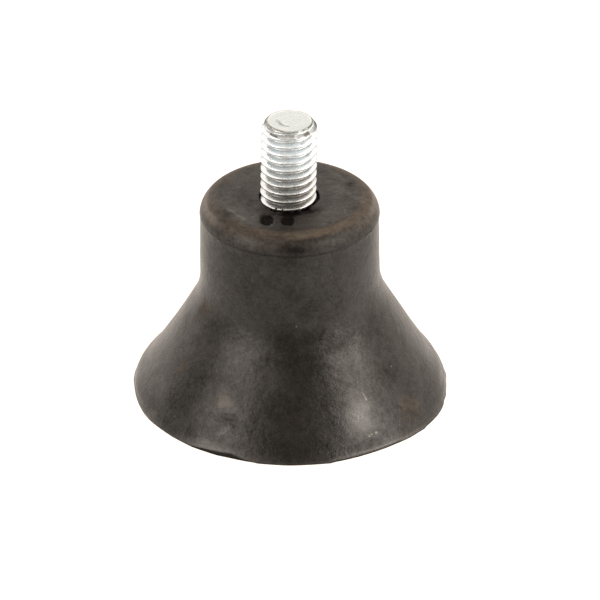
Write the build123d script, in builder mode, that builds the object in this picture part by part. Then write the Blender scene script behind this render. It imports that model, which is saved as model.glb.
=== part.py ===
from build123d import *
import os

# Suction cup foot: a bell-shaped rubber foot, hollow underneath, with a threaded
# steel stud moulded into its top.
#
# Frame, in millimetres: +Z up along the stud, origin at the centre of the rim,
# on the surface that the foot stands on.

# ---- rubber bell ----------------------------------------------------------------
rim_d = 45.0            # outer diameter of the rim, which is trimmed square
rim_land = 0.8          # width of the flat ring that the rim stands on
cone_r0 = 22.66         # radius of the straight cone, carried down to the surface
cone_slope = 0.597      # radius lost per millimetre of height (half-angle 30.8 degrees)
neck_root_d = 25.5      # neck diameter where it meets the cone (moulding draft)
neck_d = 25.2           # neck diameter under the parting line
root_fillet = 9.0       # blend between neck and cone
parting_z = 28.2        # height of the mould's parting line
flash = 0.11            # how far the parting line stands out from the neck
shoulder_r = 2.6        # rounded shoulder above the parting line
rubber_h = parting_z + shoulder_r   # flat top of the rubber, 30.8

# ---- hollow underside -----------------------------------------------------------
hollow_h = 9.5          # height of the middle of the domed hollow
hollow_r = rim_d / 2 - rim_land

# ---- moulding marks in the top --------------------------------------------------
gap_d = 8.8             # shallow ring left around the stud
gap_depth = 0.45
pit_depth = 0.6         # two shallow pits in front of the stud
pits = [(-3.2, -6.7, 1.6, 3.0), (-0.25, -6.9, 2.0, 2.8)]    # x, y, width, length
relief = (0.5, -4.55, 5.4, 1.5, 0.3)    # torn skin in front of the ring, with its depth

# ---- stud: an M8 x 25 hexagon bolt, its head inside the rubber --------------------
thread_d = 7.95         # over the crests of the M8 thread
shank_d = 7.19          # rolled blank, at the thread's pitch diameter
tip_z = 42.9            # free end
end_d = 6.3             # flat at the free end
chamfer_h = 0.85        # height of the chamfer at the free end
floor_z = rubber_h - gap_depth      # floor of the ring around the stud, 30.35
thread_z = rubber_h + 0.1           # full thread from here up; it runs out below
bolt_l = 25.0           # length under the head
head_af = 13.0          # across the flats
head_h = 5.3
head_top = tip_z - bolt_l           # 17.9
head_z = head_top - head_h          # 12.6

os.makedirs("parts", exist_ok=True)


with BuildPart() as threaded_stud:
    # hexagon head, with its edges turned back by 30 degrees on the outer face
    with BuildSketch(Plane.XY.offset(head_z)):
        RegularPolygon(head_af / 2, 6, major_radius=False)
    extrude(amount=head_h)
    with BuildSketch(Plane.XZ):
        with BuildLine():
            Polyline(
                (0, head_z),
                (head_af / 2 - 0.3, head_z),
                (head_af / 2 + 1.5, head_z + 1.8 * 0.577),
                (head_af / 2 + 1.5, head_top),
                (0, head_top),
                close=True,
            )
        make_face()
    revolve(axis=Axis.Z, mode=Mode.INTERSECT)
    # plain shank, thread run-out, threaded length at its crest diameter, and
    # chamfered end
    with BuildSketch(Plane.XZ):
        with BuildLine():
            Polyline(
                (0, head_top - 1),
                (shank_d / 2, head_top - 1),
                (shank_d / 2, floor_z),
                (thread_d / 2, thread_z),
                (thread_d / 2, tip_z - chamfer_h),
                (end_d / 2, tip_z),
                (0, tip_z),
                close=True,
            )
        make_face()
    revolve(axis=Axis.Z)
threaded_stud.part.label = "threaded_stud"
export_step(threaded_stud.part, "parts/threaded_stud.step")


with BuildPart() as rubber_foot:
    rim_r = rim_d / 2
    rim_band = (cone_r0 - rim_r) / cone_slope              # height of the trimmed edge
    root_z = (cone_r0 - neck_root_d / 2) / cone_slope      # cone meets neck
    with BuildSketch(Plane.XZ):
        with BuildLine():
            # rim: land and trimmed edge, then the cone and the neck
            Polyline(
                (hollow_r, 0),
                (rim_r, 0),
                (rim_r, rim_band),
                (neck_root_d / 2, root_z),
                (neck_d / 2, parting_z - 0.15),
                (neck_d / 2 + flash, parting_z),
            )
            # shoulder
            shoulder_c = (neck_d / 2 + flash - shoulder_r, parting_z)
            RadiusArc(
                (neck_d / 2 + flash, parting_z),
                (shoulder_c[0], rubber_h),
                -shoulder_r,
            )
            # top, ring around the stud, and the axis down to the hollow
            Polyline(
                (shoulder_c[0], rubber_h),
                (gap_d / 2, rubber_h),
                (gap_d / 2, floor_z),
                (0, floor_z),
                (0, hollow_h),
            )
            # dome of the hollow: part of a sphere through the rim and the middle
            dome_r = (hollow_r**2 + hollow_h**2) / (2 * hollow_h)
            mid_r = hollow_r / 2
            mid_z = hollow_h - dome_r + (dome_r**2 - mid_r**2) ** 0.5
            ThreePointArc((0, hollow_h), (mid_r, mid_z), (hollow_r, 0))
        face = make_face()
        root = face.vertices().sort_by_distance((neck_root_d / 2, root_z, 0))[0]
        fillet(root, radius=root_fillet)
    revolve(axis=Axis.Z)
    # pits beside the stud
    for x, y, w, l in pits:
        with BuildSketch(Plane.XY.offset(rubber_h)):
            with Locations((x, y)):
                RectangleRounded(w, l, 0.35)
        extrude(amount=-pit_depth, mode=Mode.SUBTRACT)
    x, y, w, l, depth = relief
    with BuildSketch(Plane.XY.offset(rubber_h)):
        with Locations((x, y)):
            RectangleRounded(w, l, 0.6)
    extrude(amount=-depth, mode=Mode.SUBTRACT)
    # the rubber is moulded around the bolt
    add(threaded_stud.part, mode=Mode.SUBTRACT)
rubber_foot.part.label = "rubber_foot"
export_step(rubber_foot.part, "parts/rubber_foot.step")

print("cone meets neck at", round(root_z, 3), "dome radius", round(dome_r, 3))
print("rubber", rubber_foot.part.bounding_box().size, round(rubber_foot.part.volume, 1))
print("stud", threaded_stud.part.bounding_box().size, round(threaded_stud.part.volume, 1))
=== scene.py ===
"""Suction cup foot: the visual model of a black rubber foot with a threaded stud.

Both pieces are built as closed meshes from their own sections. Lengths below are
in millimetres until they are put into a mesh, and azimuths are in degrees, from
the front of the foot (-Y), growing towards +X.
"""

import bpy
import math
import numpy as np
from mathutils import Matrix, Vector


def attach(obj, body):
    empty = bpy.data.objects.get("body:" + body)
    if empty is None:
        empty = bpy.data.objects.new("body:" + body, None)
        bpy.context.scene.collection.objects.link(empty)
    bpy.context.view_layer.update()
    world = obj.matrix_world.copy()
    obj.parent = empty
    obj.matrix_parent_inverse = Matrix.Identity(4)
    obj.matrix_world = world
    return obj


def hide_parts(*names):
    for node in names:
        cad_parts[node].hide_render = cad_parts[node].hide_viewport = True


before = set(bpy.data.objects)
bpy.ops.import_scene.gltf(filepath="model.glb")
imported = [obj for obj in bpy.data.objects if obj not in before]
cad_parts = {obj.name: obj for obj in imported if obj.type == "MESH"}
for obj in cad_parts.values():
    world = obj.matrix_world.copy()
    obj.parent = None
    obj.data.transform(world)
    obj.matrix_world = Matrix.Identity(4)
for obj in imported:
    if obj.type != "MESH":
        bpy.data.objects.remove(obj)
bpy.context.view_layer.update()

MM = 0.001


# ------------------------------------------------------------------ small helpers
def step(a, b, x):
    """Smooth step from 0 at a to 1 at b; a may be above b."""
    t = np.clip((x - a) / (b - a), 0.0, 1.0)
    return t * t * (3 - 2 * t)


def around(table, az):
    """A value round the foot from a table of (azimuth, value), joined up at the back."""
    t = np.array(sorted(table), float)
    a = np.concatenate([t[-1:, 0] - 360, t[:, 0], t[:1, 0] + 360])
    v = np.concatenate([t[-1:, 1], t[:, 1], t[:1, 1]])
    return np.interp((az + 180) % 360 - 180, a, v)


def ripple(az, z, waves, seed):
    """Slow unevenness round and up the foot, about +-1, the same at 0 and 360."""
    g = np.random.default_rng(seed)
    out = np.zeros(np.broadcast(az, z).shape)
    for n, per in waves:
        a, b = g.uniform(0, 2 * np.pi, 2)
        out += g.uniform(0.6, 1.0) * np.sin(np.radians(n * az) + a) * np.sin(
            2 * np.pi * z / per + b
        )
    return out / max(1, len(waves)) ** 0.5


def lean(x, y, z):
    """The stud stands about one degree off upright, towards +X."""
    t = math.radians(0.95)
    return x + (z - 42.9) * math.tan(t), y, z - x * math.sin(t)


def skin(name, x, y, z, first=None, last=None, smooth=35.0):
    """A closed mesh from a grid of rows by columns that goes round, with a pole at each end."""
    rows, cols = x.shape
    pts = np.stack([x, y, z], -1).reshape(-1, 3)
    i, j = np.meshgrid(np.arange(rows - 1), np.arange(cols), indexing="ij")
    k = (j + 1) % cols
    quads = np.stack(
        [i * cols + j, i * cols + k, (i + 1) * cols + k, (i + 1) * cols + j], -1
    ).reshape(-1, 4)
    c = np.arange(cols)
    d = (c + 1) % cols
    n = len(pts)
    base = (rows - 1) * cols
    tri1 = np.stack([np.full(cols, n), d, c], -1)
    tri2 = np.stack([np.full(cols, n + 1), base + c, base + d], -1)
    pts = np.vstack([pts, first, last]) * MM
    # outward faces: the volume that they enclose is positive
    a, b, e = pts[quads[:, 0]], pts[quads[:, 1]], pts[quads[:, 2]]
    f = pts[quads[:, 3]]
    vol = np.einsum("ij,ij->", a, np.cross(b, e)) + np.einsum("ij,ij->", a, np.cross(e, f))
    if vol < 0:
        quads, tri1, tri2 = quads[:, ::-1], tri1[:, ::-1], tri2[:, ::-1]
    me = bpy.data.meshes.new(name)
    me.from_pydata(pts.tolist(), [], quads.tolist() + tri1.tolist() + tri2.tolist())
    me.validate()
    me.update()
    me.shade_smooth()
    me.set_sharp_from_angle(angle=math.radians(smooth))
    o = bpy.data.objects.new(name, me)
    bpy.context.scene.collection.objects.link(o)
    return o


# ------------------------------------------------------------------- rubber foot
TOP = 30.8
PART = 28.2          # parting line
NECK, ROOT_R = 12.60, 12.75   # radius at the parting line, and where the cone starts
CONE0, SLOPE = 22.66, 0.597
ROOT_Z = (CONE0 - ROOT_R) / SLOPE
BLEND = 9.0
FLARE = 2.4
HEX = 6.5

# outer radius of the rim, which was trimmed by hand: flats, and two small steps
RIM = [
    (-175, 22.62), (-163, 22.50), (-150, 22.66), (-138, 22.60), (-126, 22.74),
    (-116, 22.76), (-111, 22.70), (-107, 22.60), (-102, 22.49), (-97, 22.47),
    (-92, 22.40), (-86, 22.26), (-80, 22.30), (-74, 22.36), (-68, 22.44),
    (-63, 22.46), (-58, 22.36), (-52, 22.30), (-44, 22.34), (-37.7, 22.46),
    (-33, 22.40), (-28, 22.44), (-22, 22.34), (-15.7, 22.46), (-11, 22.58),
    (-6, 22.58), (-2.5, 22.64), (0, 22.68), (8, 22.69), (12.5, 22.78),
    (14.6, 22.86), (16.9, 22.70), (24, 22.59), (31, 22.53), (36.5, 22.54),
    (42, 22.58), (48, 22.78), (54.4, 22.88), (56.9, 22.98), (58.4, 22.86),
    (68, 22.92), (72, 22.86), (75, 22.76), (78, 22.60), (80.7, 22.65),
    (86, 22.47), (89, 22.44), (92, 22.50), (95, 22.61), (98, 22.62),
    (103, 22.54), (107, 22.68), (111, 22.84), (118, 22.80), (128, 22.66),
    (141, 22.56), (153, 22.70), (166, 22.54),
]
# sideways offset of the section at each height
SHIFT_Z = [0, 4, 8, 12, 15, 18, 22, 28.2, 31]
SHIFT_X = [.13, .10, .27, .25, .23, .10, .02, .02, .01]
# how much fuller the foot is than the plain section, on its left and right sides:
# the cone is a little hollow, and its lip flares above the trimmed edge
FULL_Z = [0, .5, 1, 1.6, 2.2, 2.8, 3.4, 4, 4.8, 6, 8, 10.5, 13, 15, 17, 28.2]
FULL_L = [-.10, .04, .20, .23, .18, .03, -.08, -.13, -.15, -.17, -.16, -.16, -.11, -.02, .06, .06]
FULL_R = [.09, .05, .18, .18, .25, .27, .17, .09, -.01, -.08, -.20, -.16, -.11, -.04, .04, .04]
FULL_F = [0, 0, -.02, -.04, -.055, -.075, -.09, -.11, -.13, -.17, -.18, -.16, -.11, -.03, .05, .05]
# height of the cut face at the rim: tall where a slice was taken off the front left
CUT = [
    (-180, .12), (-80, .10), (-48, .11), (-40, .18), (-34, .44), (-27, .62), (-21, .58),
    (-16, .24), (-12, .07), (12, .07), (14.8, .08), (15.4, .25), (30, .24), (58, .20),
    (90, .10), (179, .12),
]


def foot():
    na = 400
    az = np.arange(na) * 360.0 / na
    sa, ca = np.sin(np.radians(az)), np.cos(np.radians(az))
    one = np.ones(na)
    rows = []                     # (radius, height, part of the foot)

    def row(r, z, part):
        rows.append((r * one, z * one, part))

    # space for the head of the bolt, and for its shank
    corner = np.radians((az - 90) % 60 - 30)
    hexr = HEX / np.cos(corner)
    turned = 12.6 + (hexr - 6.2) * 0.577
    for r in (3.0, 6.18):
        row(r, 12.6, "bolt")
    for z in (turned, 15.2 * one, 17.9 * one):
        row(hexr, z, "bolt")
    for r in (5.0, 3.6):
        row(r, 17.9, "bolt")
    for z in (18.2, 21.5, 25.0, 28.0, 29.8, 30.33):
        row(3.6, z, "bolt")
    # top face
    fine = np.concatenate([
        np.arange(3.66, 4.2, 0.09), np.arange(4.22, 4.6, 0.055),
        np.arange(4.66, 8.75, 0.095), [8.9, 9.1, 9.35, 9.6, 9.85],
    ])
    for r in fine:
        row(r, TOP, "top")
    # shoulder, a quarter round down to the parting line
    for t in np.radians(np.linspace(90, 3, 18)):
        row(10.11 + 2.6 * math.cos(t), PART + 2.6 * math.sin(t), "shoulder")
    row(12.72, 28.215, "flash")
    row(12.71, 28.165, "flash")
    row(12.625, 28.10, "flash")
    # neck, its blend, and the cone
    slope_n = (ROOT_R - NECK) / (ROOT_Z - 28.05)          # dr/dz of the neck
    un = np.array([slope_n, 1.0]) / math.hypot(slope_n, 1)      # up the neck
    uc = np.array([SLOPE, -1.0]) / math.hypot(SLOPE, 1)         # down the cone
    nn, nc = np.array([un[1], -un[0]]), np.array([-uc[1], uc[0]])   # both outwards
    root = np.array([ROOT_R, ROOT_Z])
    rad = BLEND
    # centre of the blend: outside both lines by its radius
    m = np.array([nn, nc])
    mid = root + np.linalg.solve(m, [rad, rad])
    ta, tb = mid - rad * nn, mid - rad * nc
    for z in np.linspace(27.95, ta[1] + 0.4, 16):
        row(ROOT_R + slope_n * (z - ROOT_Z), z, "neck")
    a0 = math.atan2(*(ta - mid)[::-1]) % (2 * math.pi)
    a1 = math.atan2(*(tb - mid)[::-1]) % (2 * math.pi)
    for a in np.linspace(a0, a1, 17):
        row(mid[0] + rad * math.cos(a), mid[1] + rad * math.sin(a), "neck")
    for z in np.linspace(tb[1] - 0.35, FLARE, 26):
        row(CONE0 - SLOPE * z, z, "cone")
    # last of the cone, down to where the trimmed edge cuts it
    edge = around(CUT, az)
    for u in np.linspace(0, 1, 19)[1:]:
        z = FLARE + (edge - FLARE) * (1 - (1 - u) ** 1.5)
        row(CONE0 - SLOPE * z, z, "cone")
    # trimmed edge, the ring that the foot stands on, and the hollow
    row(0.012, edge * 0.88, "edge")
    row(0.0, edge * 0.45, "edge")
    row(-0.02, np.minimum(0.045, edge * 0.3), "edge")
    row(-0.08, 0.0, "edge")
    row(22.1, 0.0, "under")
    row(21.72, 0.0, "under")
    dome = 29.534
    for r in np.concatenate([[21.55], np.linspace(21.2, 1.2, 26)]):
        row(r, 9.5 - dome + math.sqrt(dome**2 - r**2), "under")

    r = np.array([q[0] for q in rows])
    z = np.array([q[1] for q in rows])
    part = np.array([q[2] for q in rows])
    a = np.broadcast_to(az, r.shape)
    is_ = lambda *names: np.isin(part, names)[:, None]

    # trimmed rim, fading into the cone, and fading across the hollow
    rim = around(RIM, az)
    soft = np.mean([around(RIM, az + d) for d in np.arange(-26, 27, 2.0)], 0)
    trim = np.mean([around(RIM, az + d) for d in np.arange(-13, 14, 1.0)], 0)
    w = np.where(is_("cone"), step(4.6, edge, z), 0.0)
    w = np.where(is_("edge"), 1.0, w)
    w = np.where(is_("under"), step(14.0, 21.7, r), w)
    base = np.mean([around(CUT, az + d) for d in np.arange(-26, 27, 2.0)], 0)
    lip = soft - (CONE0 - SLOPE * base)
    # its waves fade out sooner, and its small steps are only close to the edge
    near = step(edge + 3.4, edge, z) * (trim - soft) + step(edge + 0.16, edge, z) * (rim - trim)
    r = np.where(is_("cone"), r + w * lip + near, np.where(is_("edge"), rim + r, r + w * (rim - 22.5)))
    left = step(0.4, -0.4, np.sin(np.radians(a)))
    full = left * np.interp(z, FULL_Z, FULL_L) + (1 - left) * np.interp(z, FULL_Z, FULL_R)
    turn = np.abs((a + 180) % 360 - 180)
    sides = step(60, 84, turn) * step(172, 140, turn)
    full = full * sides + np.interp(z, FULL_Z, FULL_F) * (1 - sides)
    r = r + np.where(is_("cone", "neck"), full * step(0, 0.5, z - edge), 0)
    t = np.clip((z - PART) / 2.6, 0, 1)             # sine of the angle up the shoulder
    r = r + np.where(is_("flash", "shoulder"), full * (1 - t**2) - 0.14 * t * np.sqrt(1 - t**2), 0)
    # unevenness of the moulding
    slow = ripple(a, z, [(2, 60), (3, 34), (5, 22), (7, 15), (11, 9)], 3)
    quick = ripple(a, z, [(17, 7), (23, 4.5), (31, 3.2), (43, 2.3)], 5)
    out = np.where(is_("cone", "neck", "edge"), 1.0, 0.0)
    r = r + out * (0.030 * slow + 0.007 * quick)
    r = r + np.where(is_("edge"), 0.012 * ripple(a, z * 0, [(61, 1e9), (97, 1e9), (139, 1e9)], 9), 0)
    # flash along the parting line: ragged, with small nubs
    rag = ripple(a, z * 0, [(9, 1e9), (23, 1e9), (47, 1e9), (89, 1e9)], 12)
    nub = sum(
        h * np.exp(-(((a - c + 180) % 360 - 180) / s) ** 2)
        for c, s, h in [(-52, 1.2, .06), (-17, 1.0, .07), (23, 1.4, .06), (64, 1.0, .07), (141, 1.2, .08), (212, 1.0, .06)]
    )
    r = r + np.where(is_("flash"), 0.018 * rag + nub, 0)
    x, y = r * sa, -r * ca

    # top face: recess round the stud, deeper skin lost at its front, and the pits
    rtop = np.hypot(x, y)
    f = is_("top")
    side = ((a + 180) % 360 - 180)
    wide = 4.17 + 0.035 * ripple(a, z * 0, [(3, 1e9), (7, 1e9), (13, 1e9), (29, 1e9)], 21)
    wide = wide + 0.06 * step(40, 70, side) * step(130, 100, side)
    tear = 0.70 + 0.30 * ripple(a, z * 0, [(11, 1e9), (19, 1e9), (31, 1e9), (47, 1e9)], 23)
    wide = wide + 0.95 * tear * step(-44, -30, side) * step(50, 30, side)
    depth = 0.45 * step(wide + 0.12, wide - 0.06, rtop)
    depth = depth - step(4.45, 4.05, rtop) * sum(
        h * np.exp(-((side - c) / s) ** 2)
        for c, s, h in [(-26, 3.2, .62), (-11.5, 2.6, .58), (21.5, 2.8, .66), (48, 4, .26), (-58, 5, .26), (6, 2.2, .30)]
    ) * f
    wob = 0.11 * ripple(a * 3, rtop, [(5, 1.9), (9, 1.3), (14, 0.9), (23, 0.7)], 30)
    for px, py, pw, pl, pd in [(-3.15, -6.75, 1.8, 3.1, 0.52), (-0.25, -6.9, 2.0, 2.9, 0.48)]:
        u = (np.abs((x - px) / pw * 2) ** 2.6 + np.abs((y - py) / pl * 2) ** 2.6) ** (1 / 2.6)
        depth = np.maximum(depth, pd * step(0.22, -0.50, (u - 1) * pw / 2 + wob))
    # a shallow dip between the pits and the recess, where the skin is torn
    torn = step(1.0, 0.2, np.hypot((x + 0.6) / 2.6, (y + 5.15) / 0.55)) * 0.22
    depth = np.maximum(depth, torn)
    dish = 0.05 * ripple(a, rtop, [(1, 40), (2, 25), (3, 18)], 33)
    z = np.where(f, z - depth + dish * step(4.5, 7.0, rtop) * step(9.9, 8.6, rtop), z)
    # shoulder and top: faint waviness
    z = z + np.where(is_("shoulder"), 0.012 * ripple(a, rtop, [(5, 9), (9, 5)], 35), 0)

    # sideways offset of the section, none at the rim, where the outline has it
    off = np.interp(z, SHIFT_Z, SHIFT_X)
    x = x + off * (1 - w) * np.where(is_("bolt", "under", "edge"), 0.0, 1.0)
    bx, by, bz = lean(x, y, z)
    k = is_("bolt")
    grip = f * step(4.6, 3.9, rtop)
    x, z = np.where(k, bx, x + grip * (bx - x)), np.where(k, bz, z)
    z = np.maximum(z, 0.0)
    p0 = lean(0.0, 0.0, 12.6)
    return skin("rubber_foot_skin", x, y, z, p0, (0.0, 0.0, 9.5))


# ----------------------------------------------------------------- threaded stud
PITCH = 1.25


def stud():
    na = 200
    ph = np.arange(na) * 2 * np.pi / na            # from +X, anticlockwise from above
    # section of one turn: crest, flank, rounded root, flank
    t = np.linspace(0, 1, 801)
    u = np.abs(t - 0.5) * PITCH                     # distance from the middle of the root
    crest, root = 3.985, 3.262
    flank = root + (u - 0.5 * PITCH * 0.20) / math.tan(math.radians(30))
    sect = np.clip(flank, root, crest)
    ker = np.hanning(61)
    ker /= ker.sum()
    sect = np.convolve(np.concatenate([sect[:-1]] * 3), ker, "same")[800:1601]
    phase = 0.2235
    z = np.linspace(30.30, 42.92, 286)
    zz, pp = np.meshgrid(z, ph, indexing="ij")
    # the thread is not perfectly even: the rolls left each crest a little different
    jig = 0.016 * ripple(np.degrees(pp), zz, [(2, 7), (3, 3.3), (5, 2.1), (9, 1.3)], 51)
    tt = (zz / PITCH - pp / (2 * np.pi) + phase + jig) % 1.0
    r = np.interp(tt, t, sect)
    r = r + 0.012 * ripple(np.degrees(pp), zz, [(4, 5), (7, 2.7), (13, 1.6), (21, 1.1)], 52)
    # end of the stud: a rounded chamfer
    cone = np.interp(zz, [41.98, 42.70, 42.80, 42.87, 42.92], [3.99, 3.41, 3.35, 3.28, 3.19])
    cone = cone + 0.018 * ripple(np.degrees(pp), zz, [(3, 4), (7, 2.1), (12, 1.3), (19, 0.9)], 55)
    r = np.minimum(r, cone)
    # shank below the rubber's face, and the head
    low = 1 - step(30.30, 30.42, zz)
    r = r * (1 - low) + 3.595 * low
    rows = [(r[i], np.full(na, z[i])) for i in range(len(z))]
    corner = (np.degrees(ph) % 60) - 30
    hexr = HEX / np.cos(np.radians(corner)) - 0.006
    below = [
        (np.full(na, 2.0), np.full(na, 12.606)),
        (np.full(na, 4.5), np.full(na, 12.606)),
        (np.full(na, 6.19), np.full(na, 12.606)),
        (hexr, 12.606 + (hexr - 6.19) * 0.577),
        (hexr, np.full(na, 15.2)),
        (hexr, np.full(na, 17.89)),
        (np.full(na, 5.2), np.full(na, 17.89)),
        (np.full(na, 3.595), np.full(na, 17.89)),
        (np.full(na, 3.595), np.full(na, 22.0)),
        (np.full(na, 3.595), np.full(na, 26.0)),
        (np.full(na, 3.595), np.full(na, 29.0)),
        (np.full(na, 3.595), np.full(na, 30.1)),
    ]
    # flat end, with a low rolled lip and a shallow dish
    end = []
    top_r = rows[-1][0]
    for q in (0.99, 0.98, 0.97, 0.96, 0.95, 0.94, 0.92, 0.88, 0.82, 0.74, 0.66, 0.58, 0.50, 0.42, 0.34, 0.26, 0.18, 0.08):
        rr = top_r * q
        dish = 0.075 * step(0.995, 0.935, q) + 0.012 * (1 - q)
        end.append((rr, 42.92 - dish + 0.010 * ripple(np.degrees(ph), rr * 2.2, [(2, 5), (3, 3.1), (5, 2)], 61)))
    allrows = below + rows + end
    r = np.array([q[0] for q in allrows])
    z = np.array([q[1] for q in allrows])
    x, y = r * np.cos(ph), r * np.sin(ph)
    # a small pressed mark left of the middle of the end
    mark = 0
    for mx, my, mr, md in [(-1.65, 0.15, 0.42, .035), (-1.30, -0.75, 0.36, .05), (-0.85, -1.20, 0.30, .04)]:
        mark = mark + md * np.exp(-(((x - mx) / mr) ** 2 + ((y - my) / mr) ** 2))
    z = z - np.where((z > 42.7) & (r < 2.85), mark, 0)
    x, y, z = lean(x, y, z)
    z = np.minimum(z, 42.9 + 0.06)
    return skin("stud_thread_skin", x, y, z, lean(0.0, 0.0, 12.606), lean(0.0, 0.0, 42.92 - 0.10), smooth=50.0)


rubber = foot()
metal = stud()
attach(rubber, "root")
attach(metal, "root")
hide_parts("rubber_foot")
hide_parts("threaded_stud")


# --------------------------------------------------------------------- materials
class Net:
    """Builds shader nodes; a V is a value socket that can be added and multiplied."""

    def __init__(self, name):
        self.mat = bpy.data.materials.new(name)
        self.mat.use_nodes = True
        self.t = self.mat.node_tree
        self.bsdf = self.t.nodes["Principled BSDF"]
        self.out = self.t.nodes["Material Output"]
        c = self.t.nodes.new("ShaderNodeTexCoord")
        s = self.t.nodes.new("ShaderNodeVectorMath")
        s.operation = "SCALE"
        s.inputs["Scale"].default_value = 1000.0
        self.t.links.new(c.outputs["Object"], s.inputs[0])
        self.p = s.outputs[0]                       # position in millimetres
        sep = self.t.nodes.new("ShaderNodeSeparateXYZ")
        self.t.links.new(self.p, sep.inputs[0])
        self.x, self.y, self.z = (V(self, sep.outputs[i]) for i in range(3))
        self.r = (self.x * self.x + self.y * self.y) ** 0.5
        self.az = self.math("ARCTAN2", self.x, self.y * -1.0) * 57.29578
        self.side_at, self.top_at = (self.az, self.z), (self.x, self.y)

    def put(self, socket, value):
        if isinstance(value, V):
            self.t.links.new(value.s, socket)
        elif isinstance(value, bpy.types.NodeSocket):
            self.t.links.new(value, socket)
        else:
            socket.default_value = value

    def math(self, op, *args, clamp=False):
        n = self.t.nodes.new("ShaderNodeMath")
        n.operation = op
        n.use_clamp = clamp
        for i, a in enumerate(args):
            self.put(n.inputs[i], a)
        return V(self, n.outputs[0])

    def ramp(self, v, a, b, lo=0.0, hi=1.0, kind="SMOOTHSTEP"):
        n = self.t.nodes.new("ShaderNodeMapRange")
        n.interpolation_type = kind
        n.clamp = True
        for i, q in enumerate((v, a, b, lo, hi)):
            self.put(n.inputs[i], q)
        return V(self, n.outputs[0])

    def scaled(self, sx, sy, sz, at=None):
        n = self.t.nodes.new("ShaderNodeMapping")
        self.put(n.inputs["Vector"], at or self.p)
        n.inputs["Scale"].default_value = (sx, sy, sz)
        return n.outputs[0]

    def noise(self, scale, detail=2.0, rough=0.5, at=None, shift=0.0, kind="Fac", warp=0.0):
        n = self.t.nodes.new("ShaderNodeTexNoise")
        n.noise_dimensions = "4D"
        n.inputs["W"].default_value = shift
        self.put(n.inputs["Vector"], at or self.p)
        n.inputs["Scale"].default_value = scale
        n.inputs["Detail"].default_value = detail
        n.inputs["Roughness"].default_value = rough
        n.inputs["Distortion"].default_value = warp
        return V(self, n.outputs[kind])

    def cells(self, scale, at=None, feature="F1", rand=1.0):
        n = self.t.nodes.new("ShaderNodeTexVoronoi")
        n.feature = feature
        self.put(n.inputs["Vector"], at or self.p)
        n.inputs["Scale"].default_value = scale
        n.inputs["Randomness"].default_value = rand
        return n

    def mix(self, fac, a, b, kind="MIX"):
        n = self.t.nodes.new("ShaderNodeMix")
        n.data_type = "RGBA"
        n.blend_type = kind
        n.clamp_factor = True
        self.put(n.inputs["Factor"], fac)
        self.put(n.inputs[6], (*a, 1.0) if isinstance(a, tuple) else a)
        self.put(n.inputs[7], (*b, 1.0) if isinstance(b, tuple) else b)
        return n.outputs[2]

    def bump(self, height, strength, distance, after=None):
        n = self.t.nodes.new("ShaderNodeBump")
        n.inputs["Strength"].default_value = strength
        n.inputs["Distance"].default_value = distance
        self.put(n.inputs["Height"], height)
        if after is not None:
            self.put(n.inputs["Normal"], after)
        return n.outputs[0]

    def stray(self, scale, size):
        """Lets the outlines of the spots wander, by degrees and millimetres."""
        c = self.noise(0.45, 3, 0.6, shift=40.0, kind="Color")
        n = self.t.nodes.new("ShaderNodeSeparateXYZ")
        self.put(n.inputs[0], c.s)
        a, b, d = (V(self, n.outputs[i]) - 0.5 for i in range(3))
        self.side_at = (self.az + a * (scale * 4.0), self.z + b * (size * 2.6))
        self.top_at = (self.x + a * (size * 1.6), self.y + d * (size * 1.6))

    def table(self, points):
        """A value round the foot by azimuth, from a table of (azimuth, value)."""
        n = self.t.nodes.new("ShaderNodeFloatCurve")
        c = n.mapping.curves[0]
        for i, (a, v) in enumerate(points):
            x = (a + 180) / 360
            if i < 2:
                c.points[i].location = (x, v)
            else:
                c.points.new(x, v)
        for p in c.points:
            p.handle_type = "VECTOR"
        n.mapping.update()
        self.put(n.inputs["Value"], (self.az + 180.0) * (1 / 360))
        return V(self, n.outputs[0])

    def vec(self, a, b, c):
        n = self.t.nodes.new("ShaderNodeCombineXYZ")
        for i, q in enumerate((a, b, c)):
            self.put(n.inputs[i], q)
        return n.outputs[0]

    def top_of(self, a, b):
        return self.math("MAXIMUM", a, b)

    def stroke(self, x0, y0, x1, y1, width, on="top", fat=1.0):
        """A soft line between two points; fat stretches it along the first axis."""
        u, v = (self.az, self.z) if on == "side" else (self.x, self.y)
        u, x0, x1 = u * (1.0 / fat), x0 / fat, x1 / fat
        long = math.hypot(x1 - x0, y1 - y0)
        dx, dy = (x1 - x0) / long, (y1 - y0) / long
        u, v = u - x0, v - y0
        along, off = u * dx + v * dy, self.math("ABSOLUTE", u * (-dy) + v * dx)
        ends = self.ramp(along, -width, width) * self.ramp(along, long + width, long - width)
        return self.ramp(off, width * 1.6, width * 0.3) * ends

    def spot(self, cx, cz, wx, wz, soft=1.0, on="side", plain=False):
        """A soft oval: on the side by azimuth and height, on the top by x and y."""
        u, v = self.side_at if on == "side" else self.top_at
        if on == "ring":                            # by azimuth and radius
            u, v = self.side_at[0], self.r + (self.top_at[0] - self.x)
        if plain:
            u, v = (self.az, self.z) if on == "side" else (self.x, self.y)
        a, b = (u - cx) * (1.0 / wx), (v - cz) * (1.0 / wz)
        return self.ramp((a * a + b * b) ** 0.5, 1.0, 1.0 - soft)


class V:
    def __init__(self, net, s):
        self.n, self.s = net, s

    def __add__(self, o):
        return self.n.math("ADD", self, o)

    def __sub__(self, o):
        return self.n.math("SUBTRACT", self, o)

    def __mul__(self, o):
        return self.n.math("MULTIPLY", self, o)

    def __pow__(self, o):
        return self.n.math("POWER", self, o)

    def __rsub__(self, o):
        return self.n.math("SUBTRACT", o, self)

    __radd__ = __add__
    __rmul__ = __mul__


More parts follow.
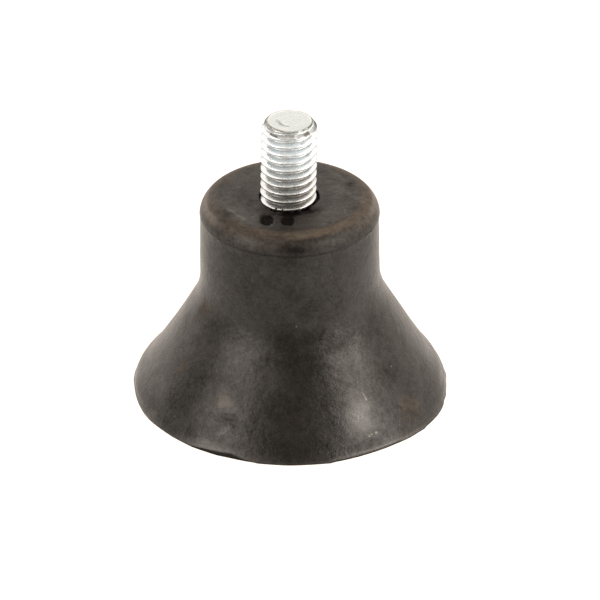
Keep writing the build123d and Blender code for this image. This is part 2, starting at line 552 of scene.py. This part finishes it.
# places on the side that are shinier or duller than the rest: azimuth, height, half
# widths in degrees and mm, and by how much
HANDLED = [
    (29, 5.2, 9, 3.2, 0.62), (31, 4.4, 7, 2.3, 0.35), (26, 9.5, 6, 3.0, 0.10),
    (-7, 10.2, 9, 2.4, 0.55), (-17, 13.2, 5, 1.2, 0.35), (-51, 11.4, 5, 1.4, 0.40),
    (-26, 11.8, 5, 1.2, 0.20), (-66, 4.4, 8, 2.2, 0.30), (-27, 6.0, 6, 1.2, 0.30),
    (51, 17.0, 12, 2.0, 0.35), (66, 9.5, 5, 3.5, 0.20), (15, 24.8, 12, 2.2, 0.16),
    (-40, 17.3, 14, 1.4, 0.20), (-62, 12.9, 5, 1.0, 0.25), (38, 10.6, 4, 1.6, 0.25),
    (52, 4.8, 5, 1.1, 0.22), (-50, 2.2, 5, 0.9, 0.20), (4, 3.4, 9, 1.2, 0.20),
    (31, 14.0, 11, 2.0, -0.55), (17, 10.6, 6, 3.0, -0.16),
    (-67, 15.2, 6, 1.7, -0.45), (-64, 19.2, 9, 1.5, -0.28), (-15, 23.2, 9, 1.8, -0.26),
    (0, 22.6, 4, 1.3, -0.36), (11, 18.8, 12, 1.6, -0.26), (-4, 15.0, 12, 1.2, -0.28),
    (0, 27.6, 14, 1.3, -0.30), (-9, 6.5, 7, 1.3, -0.32), (-26, 4.2, 9, 1.1, -0.34),
    (-52, 4.4, 7, 1.7, -0.32), (-31, 8.9, 6, 1.2, -0.22), (52, 8.2, 8, 1.9, -0.30),
    (-61, 11.6, 5, 1.2, -0.30), (-79, 12.0, 6, 2.0, -0.28), (-42, 8.2, 5, 1.6, -0.20),
    (-40, 1.8, 3, 0.8, -0.35), (80, 4.4, 7, 2.6, -0.16), (-33, 14.4, 10, 1.2, -0.22),
    (30, 1.25, 9, 0.8, -0.40), (27.5, 3.9, 2.0, 0.6, -0.30),
    (4, 6.6, 5, 1.6, -0.14), (-15, 4.6, 3, 1.8, -0.22), (33, 19.6, 8, 1.4, -0.12),
]
# painted highlight on the skin just above the trimmed edge, a pale band round the front
EDGE_GLINT_BAND = [
    (-180, .1), (-90, .2), (-74, .6), (-62, .7), (-54, .4), (-40, .5), (-36, 1), (-24, 1),
    (-16, .6), (-8, .3), (14, .2), (22, .3), (40, .5), (50, .3), (179, .1),
]
# painted highlight: a thin light line right along the trimmed edge
EDGE_GLINT_LINE = [
    (-180, .1), (-90, .3), (-60, .5), (-42, .3), (-38, .5), (-20, .4), (-12, .35), (14, .40),
    (16, .75), (24, .9), (36, 1), (52, .9), (62, .4), (90, .2), (179, .1),
]
# painted glints as pale specks, and pale short scratches, on the side: azimuth, height, half widths, how pale
GLINT_SPECKS = [
    (33.4, 8.76, 0.5, 0.16, 0.35), (31.6, 2.14, 0.9, 0.18, 0.9), (32.8, 2.26, 0.8, 0.16, 0.7),
    (35.0, 2.30, 1.1, 0.18, 0.8), (55.4, 8.76, 0.5, 0.15, 0.55), (4.2, 17.0, 0.5, 0.16, 0.6),
    (35.3, 6.45, 0.7, 0.20, 0.4), (29.6, 4.7, 0.9, 0.30, 0.25), (-51, 2.5, 0.9, 0.25, 0.10),
]
SCRATCHES = [
    (36.6, 9.4, 35.5, 8.1, 0.10, 0.07), (35.5, 8.1, 34.3, 7.5, 0.12, 0.10),
    (34.3, 7.5, 35.3, 6.4, 0.13, 0.26), (-24.6, 3.9, -28.9, 2.2, 0.30, 0.10),
    (35.2, 13.6, 35.4, 12.8, 0.10, 0.08),
]


# lighter and darker places on the top and shoulder: azimuth, radius, half widths, how much
TOP_PLACES = [
    (-92, 6.4, 52, 2.1, -0.36), (-48, 6.4, 22, 1.6, -0.22), (92, 7.6, 34, 1.8, -0.18),
    (50, 5.6, 24, 1.0, -0.22), (12, 8.3, 26, 1.7, 0.26), (-30, 9.7, 20, 0.9, 0.22),
    (84, 10.0, 10, 0.9, 0.40), (110, 9.2, 11, 0.9, -0.50), (-130, 9.5, 22, 1.0, 0.25),
    # painted shade: the darker places round the front of the shoulder's outer turn, at azimuths 2 and 24
    (-60, 8.9, 20, 0.8, 0.16), (24, 11.85, 34, 0.40, -0.40), (2, 12.5, 14, 0.6, -0.32),
    (-65, 12.0, 12, 0.5, 0.45), (62, 12.0, 14, 0.5, -0.12), (-62, 10.2, 8, 0.5, -0.35),
    (-80, 9.8, 7, 0.6, 0.30), (-20, 11.7, 12, 0.5, -0.20), (130, 8.9, 14, 0.7, 0.15),
    (-28, 12.2, 14, 0.5, 0.20), (35, 12.5, 18, 0.4, -0.20), (75, 8.9, 8, 0.5, 0.18),
]
# the tan bloom on the shoulder by azimuth
BLOOM = [
    (-180, .45), (-110, .55), (-84, .45), (-70, .64), (-58, .42), (-48, .52), (-30, .54),
    (-12, .55), (4, .85), (14, 1), (58, 1), (70, .80), (84, .95), (96, .70), (120, .70),
    (179, .45),
]


# the thin brown line on the outer turn of the shoulder by azimuth
TURNED = [
    (-180, .50), (-120, .60), (-92, .70), (-74, .5), (-60, .25), (-40, .08), (20, .05),
    (50, .10), (70, .45), (88, .75), (110, .75), (140, .55), (179, .50),
]


def rubber_look():
    n = Net("rubber_foot_look")
    b = n.bsdf
    n.stray(2.6, 0.9)
    ring_at = n.vec(n.r * 1.0, n.az * 0.07, n.z * 1.0)     # stretched round the foot
    blot = n.noise(0.20, 5, 0.62, shift=3.0, warp=0.7)
    cloud = n.noise(0.075, 3, 0.55, shift=8.0)
    mid = n.noise(0.75, 4, 0.62, shift=5.0, warp=0.4)
    grain = n.noise(3.4, 3, 0.70, shift=1.0)

    top = n.ramp(n.z, 28.3, 28.8)
    face = n.ramp(n.z, 30.0, 30.5)
    col = n.mix(n.ramp(blot, 0.34, 0.68), (0.0037, 0.0036, 0.0029), (0.0085, 0.0079, 0.0065))
    col = n.mix(n.ramp(cloud, 0.42, 0.66) * 0.35, col, (0.0086, 0.0068, 0.0048))
    col = n.mix(n.ramp(mid, 0.40, 0.75) * 0.45, col, (0.0120, 0.0108, 0.0089))
    col = n.mix(n.ramp(grain, 0.45, 0.80) * 0.40, col, (0.0160, 0.0151, 0.0129))

    # rust-brown stains on the cone, with dark cracks in the one on the right
    ragged = (mid - 0.5) * 1.1 + (grain - 0.5) * 0.7
    torn = (n.noise(0.95, 4, 0.70, shift=51.0) - 0.5) * 2.4
    stain = n.ramp(n.spot(-65, 15.6, 9.0, 2.7) + torn * 0.8, 0.10, 0.95) * 0.70
    stain = n.top_of(stain, n.ramp(n.spot(-70, 13.8, 5, 1.2) + torn * 0.5, 0.25, 0.9) * 0.5)
    stain = n.top_of(stain, n.ramp(n.spot(-56, 16.6, 5, 0.7) + torn * 0.5, 0.25, 0.9) * 0.5)
    stain = n.top_of(stain, n.ramp(n.spot(55, 3.4, 10.0, 3.2) + torn * 1.1, 0.15, 1.05) * 0.6)
    stain = n.top_of(stain, n.ramp(n.spot(-60, 7.8, 3.0, 1.3) + torn * 0.5, 0.25, 0.9) * 0.7)
    stain = n.top_of(stain, n.spot(74, 0.55, 2.0, 0.45) * 1.0)
    col = n.mix(stain * 0.85, col, (0.0270, 0.0180, 0.0090))
    tan = n.ramp(n.spot(-29.3, 6.4, 6.5, 1.9) + torn * 0.8, 0.20, 1.05) * 0.9
    tan = n.top_of(tan, n.ramp(n.spot(52, 3.9, 3.5, 1.1) + torn * 1.1, 0.25, 1.0) * 0.6)
    tan = n.top_of(tan, n.ramp(n.spot(59, 3.0, 3.5, 1.2) + torn * 1.1, 0.25, 1.0) * 0.6)
    col = n.mix(tan * 0.8, col, (0.0380, 0.0320, 0.0215))
    crack = n.stroke(49.0, 4.3, 51.0, 3.5, 0.22, on="side", fat=2.8) * 0.6
    crack = crack + n.stroke(53.5, 2.8, 56.0, 2.0, 0.26, on="side", fat=2.8) * 0.8
    crack = crack + n.stroke(-28.4, 5.15, -23.2, 5.35, 0.10, on="side", fat=2.8) * 0.7
    crack = crack + n.stroke(-27.6, 4.55, -22.8, 4.70, 0.10, on="side", fat=2.8) * 0.6
    crack = crack + n.stroke(18.0, 15.3, 21.5, 15.7, 0.16, on="side", fat=4.0) * 0.8
    crack = crack * n.ramp(ragged, -0.30, 0.15)
    col = n.mix(crack * 0.8, col, (0.0030, 0.0022, 0.0016))
    cold = n.spot(43.5, 4.0, 4.0, 3.0) * 0.5 + n.spot(71.7, 1.2, 2.0, 0.6) + n.spot(-50, 1.6, 4.0, 0.5) * 0.6
    col = n.mix(cold * 0.6, col, (0.0150, 0.0190, 0.0205))
    # paler places on the cone, and painted highlight along the trimmed edge: a pale band and a thin light line
    cut = n.z - n.table(CUT)
    rim = n.ramp(n.r, 20.0, 20.8)
    pale_and_edge_glint = n.spot(-32, 1.35, 7.5, 0.8) * 0.9 + n.spot(-26.5, 3.1, 2.2, 1.4) * 0.45
    pale_and_edge_glint = pale_and_edge_glint + n.spot(-65, 1.0, 7.0, 0.7) * 0.6 + n.spot(-73, 1.2, 4.0, 0.9) * 0.4
    pale_and_edge_glint = pale_and_edge_glint + rim * n.table(EDGE_GLINT_BAND) * n.ramp(cut, 1.3, 0.4) * 0.35
    pale_and_edge_glint = pale_and_edge_glint * n.ramp(ragged, -0.40, 0.25)
    # painted highlight: the thin light line along the trimmed edge
    line = rim * n.table(EDGE_GLINT_LINE) * n.ramp(cut, 0.46, 0.30) * n.ramp(cut, 0.0, 0.05)
    pale_and_edge_glint = pale_and_edge_glint + line * n.ramp(ragged, -0.60, 0.10) * 0.6
    col = n.mix(pale_and_edge_glint * 0.8, col, (0.0400, 0.0380, 0.0345))
    # painted glints: pale specks standing in for tiny sparkles of light, and pale scratches
    glints_and_scratches = None
    for az, z, wa, wz, k in GLINT_SPECKS:
        q = n.spot(az, z, wa, wz, plain=True) * k
        glints_and_scratches = q if glints_and_scratches is None else glints_and_scratches + q
    for a0, z0, a1, z1, w, k in SCRATCHES:
        glints_and_scratches = glints_and_scratches + n.stroke(a0, z0, a1, z1, w, on="side", fat=2.9) * k
    glints_and_scratches = glints_and_scratches * n.ramp(grain, 0.30, 0.55)
    col = n.mix(glints_and_scratches * 0.9, col, (0.26, 0.25, 0.235))
    # the cut face itself is rough and dark
    sliced = rim * n.ramp(cut, 0.02, -0.03) * n.ramp(n.z, -0.01, 0.01)
    col = n.mix(sliced * 0.9, col, (0.0050, 0.0042, 0.0030))

    # brown bloom round the top of the shoulder
    wav = n.noise(0.9, 4, 0.62, at=ring_at, shift=14.0)
    front = n.ramp(n.az, -20.0, 10.0) * n.ramp(n.az, 80.0, 60.0)      # a clean thin ring here
    rr = n.r + (wav - 0.5) * (2.2 - 1.3 * front)
    band = n.ramp(rr, 9.5, 10.7) * n.ramp(rr, 12.2 - front * 0.35, 11.5 - front * 0.1)
    speck = n.ramp(n.noise(1.1, 4, 0.68, at=ring_at, shift=15.0), 0.30, 0.62)
    speck = speck * (0.80 - front * 0.25) + (0.20 + front * 0.25)
    bloom = top * band * n.table(BLOOM) * speck
    # the rest of the shoulder is browner and duller than the neck
    col = n.mix(top * n.ramp(n.r, 9.6, 11.0) * 0.5 * n.ramp(mid, 0.35, 0.6, 0.3, 1.0), col, (0.0180, 0.0142, 0.0102))
    col = n.mix(bloom * 0.95, col, (0.0490, 0.0385, 0.0285))
    # a thin brown line right on the outer turn of the shoulder
    turned = n.ramp(n.r, 11.55, 11.95) * n.ramp(n.r, 12.62, 12.40) * n.ramp(n.z, 29.2, 29.8)
    turned = turned * n.table(TURNED) * n.ramp(wav, 0.30, 0.52, 0.25, 1.0)
    col = n.mix(turned * 0.75, col, (0.0740, 0.0520, 0.0340))
    # grey-brown middle of the top, with rubbed and darker places
    disc = face * n.ramp(n.r, 10.4, 8.6)
    col = n.mix(disc * n.ramp(mid, 0.30, 0.65, 0.25, 0.85), col, (0.0180, 0.0161, 0.0144))
    rub = n.spot(7.6, 1.8, 2.6, 3.6, on="top") * 0.5 + n.spot(-7.5, 2.5, 0.7, 0.7, on="top")
    rub = rub + n.stroke(-8.7, -3.7, -6.2, -6.8, 0.22) * 0.8 + n.stroke(5.4, 4.6, 9.6, -0.8, 0.35) * 0.45
    rub = rub + n.stroke(7.8, -3.8, 7.8, -4.9, 0.09) * 1.2
    col = n.mix(face * rub * n.ramp(ragged, -0.4, 0.2) * 0.7, col, (0.0424, 0.0401, 0.0369))
    dark_marks_and_shade = n.spot(-8.4, -5.3, 1.2, 1.5, on="top") * 0.9 + n.spot(5.0, 7.3, 0.9, 0.7, on="top") * 0.8
    dark_marks_and_shade = dark_marks_and_shade + n.spot(8.4, 3.4, 0.7, 1.3, on="top") * 0.8 + n.spot(-0.3, -8.9, 1.7, 0.8, on="top") * 0.5
    dark_marks_and_shade = dark_marks_and_shade + n.spot(-6.0, 8.0, 1.6, 0.8, on="top") * 0.4
    # painted shade: the dark place on the front of the shoulder, where it faces the dark side of the studio
    dark_marks_and_shade = dark_marks_and_shade * face + n.spot(4.5, 28.9, 12.0, 0.9) * 0.9
    col = n.mix(dark_marks_and_shade * n.ramp(ragged, -0.5, 0.1) * 0.85, col, (0.0042, 0.0041, 0.0040))
    # painted shadow: the thin line under the parting line, darkened as in the shadow of the flash
    flash_shadow = n.ramp(n.z, 27.80, 28.05) * n.ramp(n.z, 28.42, 28.22)
    flash_shadow = flash_shadow * n.ramp(ragged, -0.45, 0.30, 0.40, 1.0)
    col = n.mix(flash_shadow * 0.75, col, (0.0024, 0.0022, 0.0019))

    # black cement in the recess and in the pits, smeared in front of the stud, with painted shade: everything sunk
    # below the face is darkened towards black
    sunk_shade = n.ramp(n.z, 30.77, 30.50) * n.ramp(n.r, 9.0, 8.8) * n.ramp(n.z, 29.0, 29.6)
    fuzz = n.noise(1.7, 4, 0.70, shift=19.0)
    smear = n.spot(0.3, -4.9, 3.8, 1.25, on="top") * 1.15 + n.spot(3.4, -4.3, 2.0, 1.4, on="top") * 0.8
    smear = smear + n.spot(-3.1, -6.7, 1.7, 2.5, on="top") * 1.25 + n.spot(-0.2, -6.8, 1.9, 2.4, on="top") * 1.1
    smear = n.ramp(smear + (fuzz - 0.5) * 1.3, 0.10, 1.05) * face
    black = n.top_of(sunk_shade * n.ramp(fuzz, 0.25, 0.60, 0.70, 1.0), smear)
    col = n.mix(black * 0.94, col, (0.0014, 0.0012, 0.0011))
    wells = n.spot(-3.15, -6.75, 1.1, 1.9, on="top") + n.spot(-0.25, -6.9, 1.2, 1.9, on="top")
    col = n.mix(wells * n.ramp(fuzz, 0.40, 0.70) * 0.35, col, (0.0110, 0.0092, 0.0078))
    place = None
    for az, r, wa, wr, k in TOP_PLACES:
        q = n.spot(az, r, wa * 1.2, wr * 1.3, on="ring") * k
        place = q if place is None else place + q
    place = place * top + (n.noise(0.55, 4, 0.62, at=ring_at, shift=61.0) - 0.5) * 0.9 * top
    place = place + (n.noise(1.3, 4, 0.68, shift=63.0) - 0.5) * 1.3 * top * n.ramp(n.r, 8.6, 9.8)
    lit = n.t.nodes.new("ShaderNodeVectorMath")
    lit.operation = "SCALE"
    n.put(lit.inputs[0], col)
    n.put(lit.inputs["Scale"], place + 1.0)
    n.put(b.inputs["Base Color"], lit.outputs[0])

    # gloss: polished by handling in patches, dull where the bloom and the cement are
    polish = n.noise(0.17, 4, 0.62, shift=22.0, warp=0.8)
    rough = n.ramp(polish, 0.30, 0.70, 0.255, 0.345, "LINEAR")
    rough = rough + (mid - 0.5) * 0.10 + (grain - 0.5) * 0.06
    rough = rough + bloom * 0.22 + top * 0.08 + face * 0.06 + black * 0.25 + stain * 0.10
    n.put(b.inputs["Roughness"], rough)
    shine = n.ramp(polish, 0.35, 0.68, 1.08, 0.92) + (mid - 0.5) * 0.95 + (grain - 0.5) * 1.5
    shine = shine + (n.noise(1.5, 3, 0.6, shift=41.0) - 0.5) * 0.8
    for az, z, wa, wz, k in HANDLED:
        shine = shine + n.spot(az, z, wa * 1.25, wz * 1.25) * (k * 1.15)
    shine = shine + rim * n.table(EDGE_GLINT_BAND) * n.ramp(cut, 1.3, 0.4) * 0.5 + line * 0.45
    shine = (shine + place * 0.8) * (1.0 - black * 0.86) * (1.0 - dark_marks_and_shade * 0.35) * (1.0 - face * 0.55)
    shine = shine * (1.0 - sliced * 0.75) * (1.0 - crack * 0.5) * (1.0 - stain * 0.30) * (1.0 - flash_shadow * 0.35)
    n.put(b.inputs["Specular IOR Level"], shine * 0.28)
    b.inputs["IOR"].default_value = 1.50
    # fine skin of the mould
    h = n.noise(4.0, 3, 0.66, shift=30.0) * 0.55 + n.noise(1.1, 3, 0.55, shift=31.0) * 1.1
    n.put(b.inputs["Normal"], n.bump(h, 0.6, 0.00009))
    return n.mat


def zinc_look():
    n = Net("threaded_stud_look")
    b = n.bsdf
    b.inputs["Metallic"].default_value = 0.88
    b.inputs["Specular Tint"].default_value = (0.10, 0.105, 0.11, 1.0)
    tint = n.noise(0.55, 3, 0.55, shift=2.0)
    col = n.mix(n.ramp(tint, 0.35, 0.65), (0.685, 0.745, 0.78), (0.605, 0.675, 0.725))
    cloudy = n.ramp(n.noise(0.9, 4, 0.65, shift=4.0), 0.35, 0.70)
    col = n.mix(cloudy * 0.40, col, (0.52, 0.55, 0.55))
    stain = n.ramp(n.noise(1.6, 3, 0.6, shift=5.0), 0.55, 0.76)
    col = n.mix(stain * 0.45, col, (0.48, 0.45, 0.41))
    # greyer on the end and the chamfer, and towards the rubber; painted shade darkens the chamfer further, in uneven
    # patches
    col = n.mix(n.ramp(n.z, 42.0, 42.3) * 0.9, col, (0.455, 0.50, 0.515))
    col = n.mix(n.ramp(n.z, 39.0, 33.5) * 0.75, col, (0.415, 0.435, 0.44))
    uneven = n.ramp(n.noise(0.8, 4, 0.68, shift=23.0), 0.36, 0.62)
    # painted shade on the chamfer
    chamfer_shade = n.ramp(n.r, 3.36, 3.42) * n.ramp(n.z, 41.9, 42.15)
    col = n.mix(chamfer_shade * (uneven * 0.55 + 0.35), col, (0.185, 0.195, 0.20))
    # brown grime and painted shade in the roots, more of it near the rubber
    low = n.ramp(n.z, 39.5, 31.5)
    broken = n.ramp(n.noise(1.3, 3, 0.6, shift=7.0), 0.30, 0.60, 0.35, 1.0)
    root_grime_and_shade = n.ramp(n.r, 3.62, 3.33) * (low * 0.70 + 0.30) * broken * n.ramp(n.z, 42.0, 41.6)
    col = n.mix(root_grime_and_shade * 0.85, col, (0.105, 0.082, 0.060))
    # darker at the front, right down by the rubber
    foot = n.ramp(n.z, 33.6, 30.8) * n.ramp(n.math("ABSOLUTE", n.az), 55.0, 25.0)
    col = n.mix(foot * 0.35, col, (0.16, 0.145, 0.125))
    rough = n.ramp(n.noise(2.2, 3, 0.6, shift=9.0), 0.3, 0.7, 0.18, 0.30, "LINEAR") + root_grime_and_shade * 0.2
    n.put(b.inputs["Roughness"], rough)
    # dull dark line round the end, broken at the back, and a comma-shaped scratch on it
    wear = n.noise(0.9, 3, 0.6, shift=17.0)
    line = n.ramp(n.math("ABSOLUTE", n.r - 3.25), 0.19, 0.06) * n.ramp(n.z, 42.66, 42.78)
    gap = n.spot(168, 42.9, 13, 2.0, plain=True)
    thick = n.spot(128, 42.9, 26, 3.0, plain=True) + n.spot(-30, 42.9, 40, 3.0, plain=True) * 0.4
    line = line * n.top_of(n.ramp(wear, 0.30, 0.55), thick) * (1.0 - gap)
    mark = n.stroke(-1.85, 0.55, -1.50, -0.30, 0.30) * 0.45 + n.stroke(-1.50, -0.30, -1.0, -1.15, 0.26) * 0.9
    mark = mark + n.stroke(-1.0, -1.20, 0.0, -1.62, 0.12) * 0.8
    mark = mark * n.ramp(n.z, 42.70, 42.75)
    # dark marks where the thread runs out on the chamfer, and a painted shadow line under its lower edge at the
    # front
    chamfer_marks_and_shadow = n.stroke(33.0, 42.10, 50.0, 42.32, 0.20, on="side", fat=15.5) * 0.9
    chamfer_marks_and_shadow = chamfer_marks_and_shadow + n.stroke(-50.0, 42.10, -27.0, 42.08, 0.10, on="side", fat=15.5) * 0.9
    chamfer_marks_and_shadow = chamfer_marks_and_shadow + n.stroke(-10.0, 42.36, 12.0, 42.34, 0.14, on="side", fat=15.5) * 0.5
    # painted shadow: the thin line under the chamfer's lower edge
    chamfer_marks_and_shadow = chamfer_marks_and_shadow + n.stroke(-28.0, 42.00, 14.0, 42.00, 0.06, on="side", fat=15.5) * 0.6
    chamfer_marks_and_shadow = chamfer_marks_and_shadow + n.stroke(30.0, 41.75, 48.0, 41.95, 0.10, on="side", fat=15.5) * 0.7
    dark = n.math("MINIMUM", line * 0.85 + mark * 0.60, 1.0)
    col = n.mix(dark, col, (0.115, 0.098, 0.072))
    col = n.mix(n.math("MINIMUM", chamfer_marks_and_shadow, 1.0) * 0.92, col, (0.045, 0.040, 0.034))
    n.put(b.inputs["Base Color"], col)
    h = n.noise(3.5, 4, 0.6, at=n.scaled(1, 1, 2.2), shift=12.0)
    n.put(b.inputs["Normal"], n.bump(h, 0.35, 0.00008))
    return n.mat


rubber.data.materials.append(rubber_look())
metal.data.materials.append(zinc_look())


# ------------------------------------------------------------------------ lights
# A white sweep lit from all round, dark behind the camera, with a soft box on each side
# of it. Each lobe: azimuth and elevation in degrees, and strength. A broad lobe is full
# within 8 degrees and gone at 26, a narrow one at 3 and 15.
WARM = (1.105, 0.995, 0.900)
BROAD = [
    (-180, 5, 1.14), (-150, 5, 1.81), (-120, 5, 1.21), (-60, 5, 1.43), (-30, 5, 0.15),
    (0, 5, 0.32), (60, 5, 1.90), (90, 5, 0.57), (120, 5, 0.84), (150, 5, 1.30),
    (-180, 28, 1.12), (-150, 28, 1.30), (-120, 28, 1.34), (-90, 28, 0.39),
    (-60, 28, 2.67), (-30, 28, 0.42), (60, 28, 3.82), (90, 28, 1.28), (120, 28, 1.38),
    (150, 28, 1.19), (-180, 52, 1.17), (-135, 52, 1.13), (-90, 52, 1.31),
    (-45, 52, 0.34), (45, 52, 0.22), (90, 52, 1.56), (135, 52, 1.16), (0, 85, 1.75),
    (0, 70, 0.35), (90, 70, 0.45), (-90, 70, 0.45), (180, 70, 0.45),
]
NARROW = [
    (-90, 12, 0.07), (-75, 12, 0.05), (-60, 12, 0.29), (-45, 12, 0.28), (0, 12, 0.23),
    (15, 12, 0.43), (60, 12, 0.28), (75, 12, 0.34), (-75, 26, 0.34), (-60, 26, 0.99),
    (-45, 26, 1.06), (-30, 26, 0.65), (0, 26, 0.22), (15, 26, 0.24), (60, 26, 1.87),
    (75, 26, 1.03), (90, 26, 0.18), (-90, 40, 0.20), (-75, 40, 0.53), (-60, 40, 0.79),
    (-45, 40, 0.68), (-30, 40, 0.07), (45, 40, 0.86), (60, 40, 1.94), (75, 40, 1.12),
    (90, 40, 0.43),
]


def floor():
    me = bpy.data.meshes.new("white_floor")
    s = 12.0
    me.from_pydata(
        [(-s, -s, -0.00002), (s, -s, -0.00002), (s, s, -0.00002), (-s, s, -0.00002)],
        [], [(0, 1, 2, 3)],
    )
    o = bpy.data.objects.new("white_floor", me)
    bpy.context.scene.collection.objects.link(o)
    n = Net("white_floor_look")
    n.bsdf.inputs["Base Color"].default_value = (0.06, 0.06, 0.06, 1)
    n.bsdf.inputs["Roughness"].default_value = 1.0
    n.bsdf.inputs["Specular IOR Level"].default_value = 0.0
    n.bsdf.inputs["Emission Color"].default_value = (*WARM, 1)
    # the floor glows: white everywhere, with painted pools of light brighter towards the soft boxes
    glow = n.ramp(n.x, 5.0, 60.0) * n.ramp(n.y, 20.0, -20.0) * 0.69
    glow = glow + n.ramp(n.x, -5.0, -60.0) * n.ramp(n.y, 20.0, -20.0) * 0.17
    n.put(n.bsdf.inputs["Emission Strength"], glow + 1.115)
    me.materials.append(n.mat)


floor()


def sky():
    w = bpy.data.worlds.new("studio")
    bpy.context.scene.world = w
    w.use_nodes = True
    t = w.node_tree
    t.nodes.clear()
    tc = t.nodes.new("ShaderNodeTexCoord")
    total = None

    def math_(op, a, b=None):
        n = t.nodes.new("ShaderNodeMath")
        n.operation = op
        for i, v in enumerate((a, b)):
            if v is None:
                continue
            if isinstance(v, (int, float)):
                n.inputs[i].default_value = v
            else:
                t.links.new(v, n.inputs[i])
        return n.outputs[0]

    lobes = [(a, e, 8, 26, k) for a, e, k in BROAD] + [(a, e, 3, 15, k) for a, e, k in NARROW]
    for a, e, inner, outer, k in lobes:
        a, e = math.radians(a), math.radians(e)
        d = t.nodes.new("ShaderNodeVectorMath")
        d.operation = "DOT_PRODUCT"
        t.links.new(tc.outputs["Generated"], d.inputs[0])
        d.inputs[1].default_value = (
            math.sin(a) * math.cos(e), -math.cos(a) * math.cos(e), math.sin(e)
        )
        m = t.nodes.new("ShaderNodeMapRange")
        m.interpolation_type = "SMOOTHSTEP"
        t.links.new(d.outputs["Value"], m.inputs[0])
        m.inputs[1].default_value = math.cos(math.radians(outer))
        m.inputs[2].default_value = math.cos(math.radians(inner))
        m.inputs[3].default_value = 0.0
        m.inputs[4].default_value = k
        total = m.outputs[0] if total is None else math_("ADD", total, m.outputs[0])
    bg = t.nodes.new("ShaderNodeBackground")
    bg.inputs["Color"].default_value = (*WARM, 1)
    t.links.new(total, bg.inputs["Strength"])
    # the sweep itself is plain white to the camera
    white = t.nodes.new("ShaderNodeBackground")
    lp = t.nodes.new("ShaderNodeLightPath")
    mx = t.nodes.new("ShaderNodeMixShader")
    t.links.new(lp.outputs["Is Camera Ray"], mx.inputs[0])
    t.links.new(bg.outputs[0], mx.inputs[1])
    t.links.new(white.outputs[0], mx.inputs[2])
    o = t.nodes.new("ShaderNodeOutputWorld")
    t.links.new(mx.outputs[0], o.inputs["Surface"])


sky()


# ------------------------------------------------------------------------ camera
def camera():
    e = math.radians(30.05)
    k = 7.067                                    # pixels per millimetre at the foot
    fwd = Vector((0, math.cos(e), -math.sin(e)))
    up = Vector((0, math.sin(e), math.cos(e)))
    right = Vector((1, 0, 0))
    u, v = (289.62 - 300) / k, (300 - 212.06) / k
    pos = Vector((0, 0, PART)) - 1000 * fwd - u * right - v * up
    c = bpy.data.cameras.new("camera")
    c.sensor_width = 36.0
    c.lens = 1000 * k * 36.0 / 600
    c.clip_start, c.clip_end = 0.05, 60.0
    o = bpy.data.objects.new("camera", c)
    bpy.context.scene.collection.objects.link(o)
    o.matrix_world = Matrix.Translation(pos * MM) @ Matrix(
        (right, up, -fwd)
    ).transposed().to_4x4()
    bpy.context.scene.camera = o


camera()
bpy.context.scene.view_settings.view_transform = "Standard"
bpy.context.scene.view_settings.look = "None"
